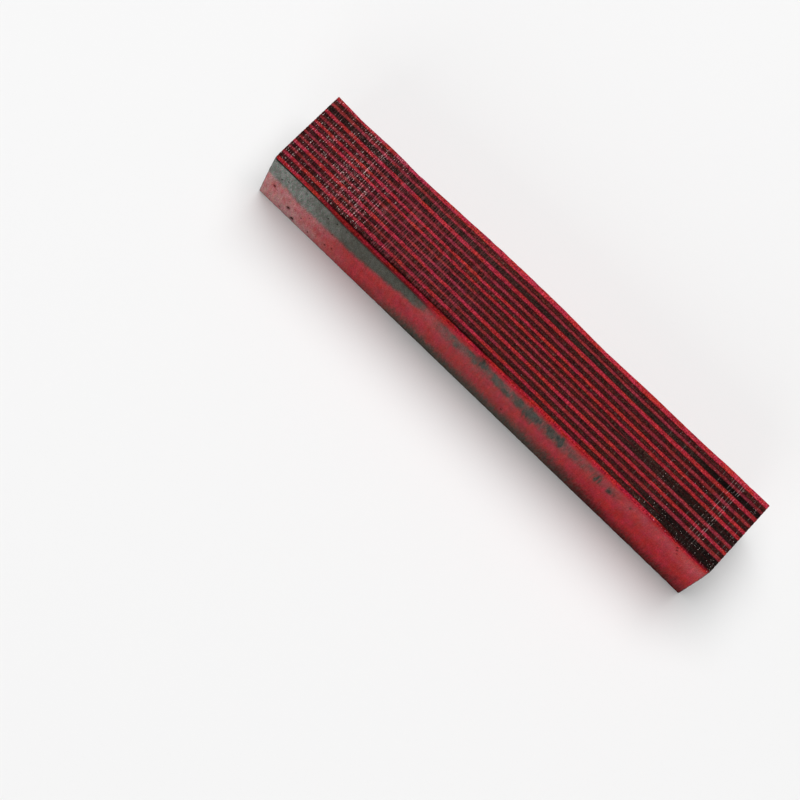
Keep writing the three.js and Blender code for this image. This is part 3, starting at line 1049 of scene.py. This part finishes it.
    smooth, rough = dyes.roughness - 0.10, dyes.roughness + 0.12
    roughness = bench.ease(grain["Strokes"], 0.25, 0.75, smooth, rough)
    bump = bench.node("ShaderNodeBump", {
        "Strength": 1.0, "Distance": BUMP_DEPTH, "Height": grain["Height"]})
    shader = bench.node("ShaderNodeBsdfPrincipled", {
        "Base Color": colour, "Roughness": bench.times_plus(read["end"], 0.35, roughness),
        "IOR": 1.5, "Specular IOR Level": 0.02, "Coat Weight": bench.times(read["dust"], 0.35),
        "Coat Roughness": 0.25, "Coat IOR": 1.5, "Normal": bump.outputs[0]})
    bench.node("ShaderNodeOutputMaterial", {"Surface": shader.outputs[0]})


# Operators

def the_stack(context):
    sizes = context.scene.veneer_sizes
    return Stack(sizes.grid_step / MM, sizes.wander / MM)


class VENEER_OT_dyes(bpy.types.Operator):
    """Mix the dyes: one material for each colour of veneer"""

    bl_idname = "veneer.dyes"
    bl_label = "Mix Dyes"

    def execute(self, context):
        dyes = context.scene.veneer_dyes
        groups = {
            "grain": sawn_grain_group(), "drift": dye_drift_group(), "feathered": feathered_group(),
            "glue": glue_line_group(), "glints": painted_glints_group(), "scratches": scratches_group(),
        }
        for name, dye, cool, through, glint_paint_colour in (
                ("red", dyes.red, dyes.deep_red, None, dyes.red_glint_paint),
                ("dull_red", dyes.dull_red, dyes.dull_red, None, dyes.red_glint_paint),
                ("black", dyes.black, dyes.cool_black, dyes.red, dyes.black_glint_paint)):
            veneer_material(name, dye, cool, through, glint_paint_colour, dyes, groups)
        return {"FINISHED"}


class VENEER_OT_sheets(bpy.types.Operator):
    """Saw the sheets of the stack out of one piece, with their glue lines, ends and worn edges"""

    bl_idname = "veneer.sheets"
    bl_label = "Saw Sheets"

    def execute(self, context):
        stack = the_stack(context)
        sizes, dyes = context.scene.veneer_sizes, context.scene.veneer_dyes
        for sheet, name in enumerate(SHEETS):
            place(name, build_sheet(stack, sizes, dyes, sheet, name))
        return {"FINISHED"}


class VENEER_OT_offcuts(bpy.types.Operator):
    """Leave the sliver on the near face and the wedge on the far face"""

    bl_idname = "veneer.offcuts"
    bl_label = "Leave Offcuts"

    def execute(self, context):
        stack, sizes = the_stack(context), context.scene.veneer_sizes
        sliver = build_offcut(
            stack, sizes, SLIVER, stack.sliver_depth, 0, 1, lambda x, z: {
                "other": 1 - near_black(stack, x, z), **near_looks(stack, x, z)})
        place(SLIVER, sliver)
        wedge = build_offcut(
            stack, sizes, WEDGE, stack.wedge_depth, len(SHEETS), -1, lambda x, z: {
                "other": 1 - far_black(stack, x, z), "shade": 0.12 * noise(700, x / 2, z / 3),
                # Dust on the wedge, with a little painted sheen in it.
                "dust": 0.25 + 0.15 * noise(701, x / 3, z / 2), "cool": 0.8})
        place(WEDGE, wedge)
        return {"FINISHED"}


def lay_floor(studio):
    mesh = bpy.data.meshes.new("floor")
    mesh.from_pydata([(-3, -3, 0), (3, -3, 0), (3, 3, 0), (-3, 3, 0)], [], [(0, 1, 2, 3)])
    material = bpy.data.materials.new("floor")
    material.use_nodes = True
    values = material.node_tree.nodes["Principled BSDF"].inputs
    values["Base Color"].default_value = studio.floor
    values["Roughness"].default_value = 0.9
    values["Specular IOR Level"].default_value = 0.1
    mesh.materials.append(material)
    put("floor", mesh)


def hang_light(name, place_at, side, power):
    """A square light that faces the middle of the block's foot."""
    data = bpy.data.lights.new(name, "AREA")
    data.shape, data.size, data.energy = "SQUARE", side, power
    lamp = put(name, data)
    lamp.location = place_at
    lamp.rotation_euler = (-Vector(place_at)).to_track_quat("-Z", "Y").to_euler()


def fill_air(scene, studio):
    """Light from all round, behind which the camera sees a bright backdrop."""
    scene.world = bpy.data.worlds.new("air")
    scene.world.use_nodes = True
    scene.world.node_tree.nodes.clear()
    bench = Bench(scene.world.node_tree)
    lit = bench.node("ShaderNodeBackground", {"Color": (1, 1, 1, 1), "Strength": studio.air})
    seen = bench.node("ShaderNodeBackground", {"Color": BACKDROP, "Strength": 1.0})
    ray = bench.node("ShaderNodeLightPath").outputs["Is Camera Ray"]
    both = bench.node("ShaderNodeMixShader", {0: ray, 1: lit.outputs[0], 2: seen.outputs[0]})
    bench.node("ShaderNodeOutputWorld", {"Surface": both.outputs[0]})


def stand_camera(scene, studio):
    data = bpy.data.cameras.new("camera")
    data.sensor_width, data.lens, data.clip_start, data.clip_end = 36, studio.lens, 0.01, 50
    scene.camera = put("camera", data)
    azimuth, elevation = studio.azimuth, studio.elevation
    back = Vector((
        math.sin(azimuth) * math.cos(elevation), -math.cos(azimuth) * math.cos(elevation),
        math.sin(elevation)))
    level = (Vector((0, 0, 1)) - back * back.z).normalized()
    up = Matrix.Rotation(studio.roll, 3, -back) @ level
    turn = Matrix((up.cross(back), up, back)).transposed().to_4x4()
    scene.camera.matrix_world = Matrix.Translation(studio.eye) @ turn


class VENEER_OT_studio(bpy.types.Operator):
    """Lay the floor, hang the lights and stand the camera"""

    bl_idname = "veneer.studio"
    bl_label = "Set Up Studio"

    def execute(self, context):
        studio, scene = context.scene.veneer_studio, context.scene
        lay_floor(studio)
        hang_light("key_light", (-0.34, 0.55, 2.30), 2.2, studio.key_power)
        hang_light("near_light", (0.25, -1.95, 0.90), 1.4, studio.near_power)
        fill_air(scene, studio)
        stand_camera(scene, studio)
        scene.view_settings.view_transform = "Standard"
        return {"FINISHED"}


class VENEER_PT_block(bpy.types.Panel):
    """Sizes, dyes and studio of the block"""

    bl_label = "Veneer Block"
    bl_idname = "VENEER_PT_block"
    bl_space_type = "VIEW_3D"
    bl_region_type = "UI"
    bl_category = "Veneer Block"

    def draw(self, context):
        scene, layout = context.scene, self.layout
        groups = {
            "Sizes": scene.veneer_sizes, "Dyes": scene.veneer_dyes, "Studio": scene.veneer_studio}
        for title, group in groups.items():
            box = layout.box()
            box.label(text=title)
            for name in group.__annotations__:
                box.prop(group, name, text=name.replace("_", " ").capitalize())
        for operator in (VENEER_OT_dyes, VENEER_OT_sheets, VENEER_OT_offcuts, VENEER_OT_studio):
            layout.operator(operator.bl_idname)


CLASSES = (
    BlockSizes, BlockDyes, Studio, VENEER_OT_dyes, VENEER_OT_sheets, VENEER_OT_offcuts,
    VENEER_OT_studio, VENEER_PT_block)


def register():
    for each in CLASSES:
        bpy.utils.register_class(each)
    bpy.types.Scene.veneer_sizes = PointerProperty(type=BlockSizes)
    bpy.types.Scene.veneer_dyes = PointerProperty(type=BlockDyes)
    bpy.types.Scene.veneer_studio = PointerProperty(type=Studio)


def unregister():
    scene = bpy.types.Scene
    del scene.veneer_sizes, scene.veneer_dyes, scene.veneer_studio
    for each in reversed(CLASSES):
        bpy.utils.unregister_class(each)


def main():
    register()
    bpy.ops.veneer.dyes()
    bpy.ops.veneer.sheets()
    bpy.ops.veneer.offcuts()
    bpy.ops.veneer.studio()


if __name__ == "__main__":
    main()
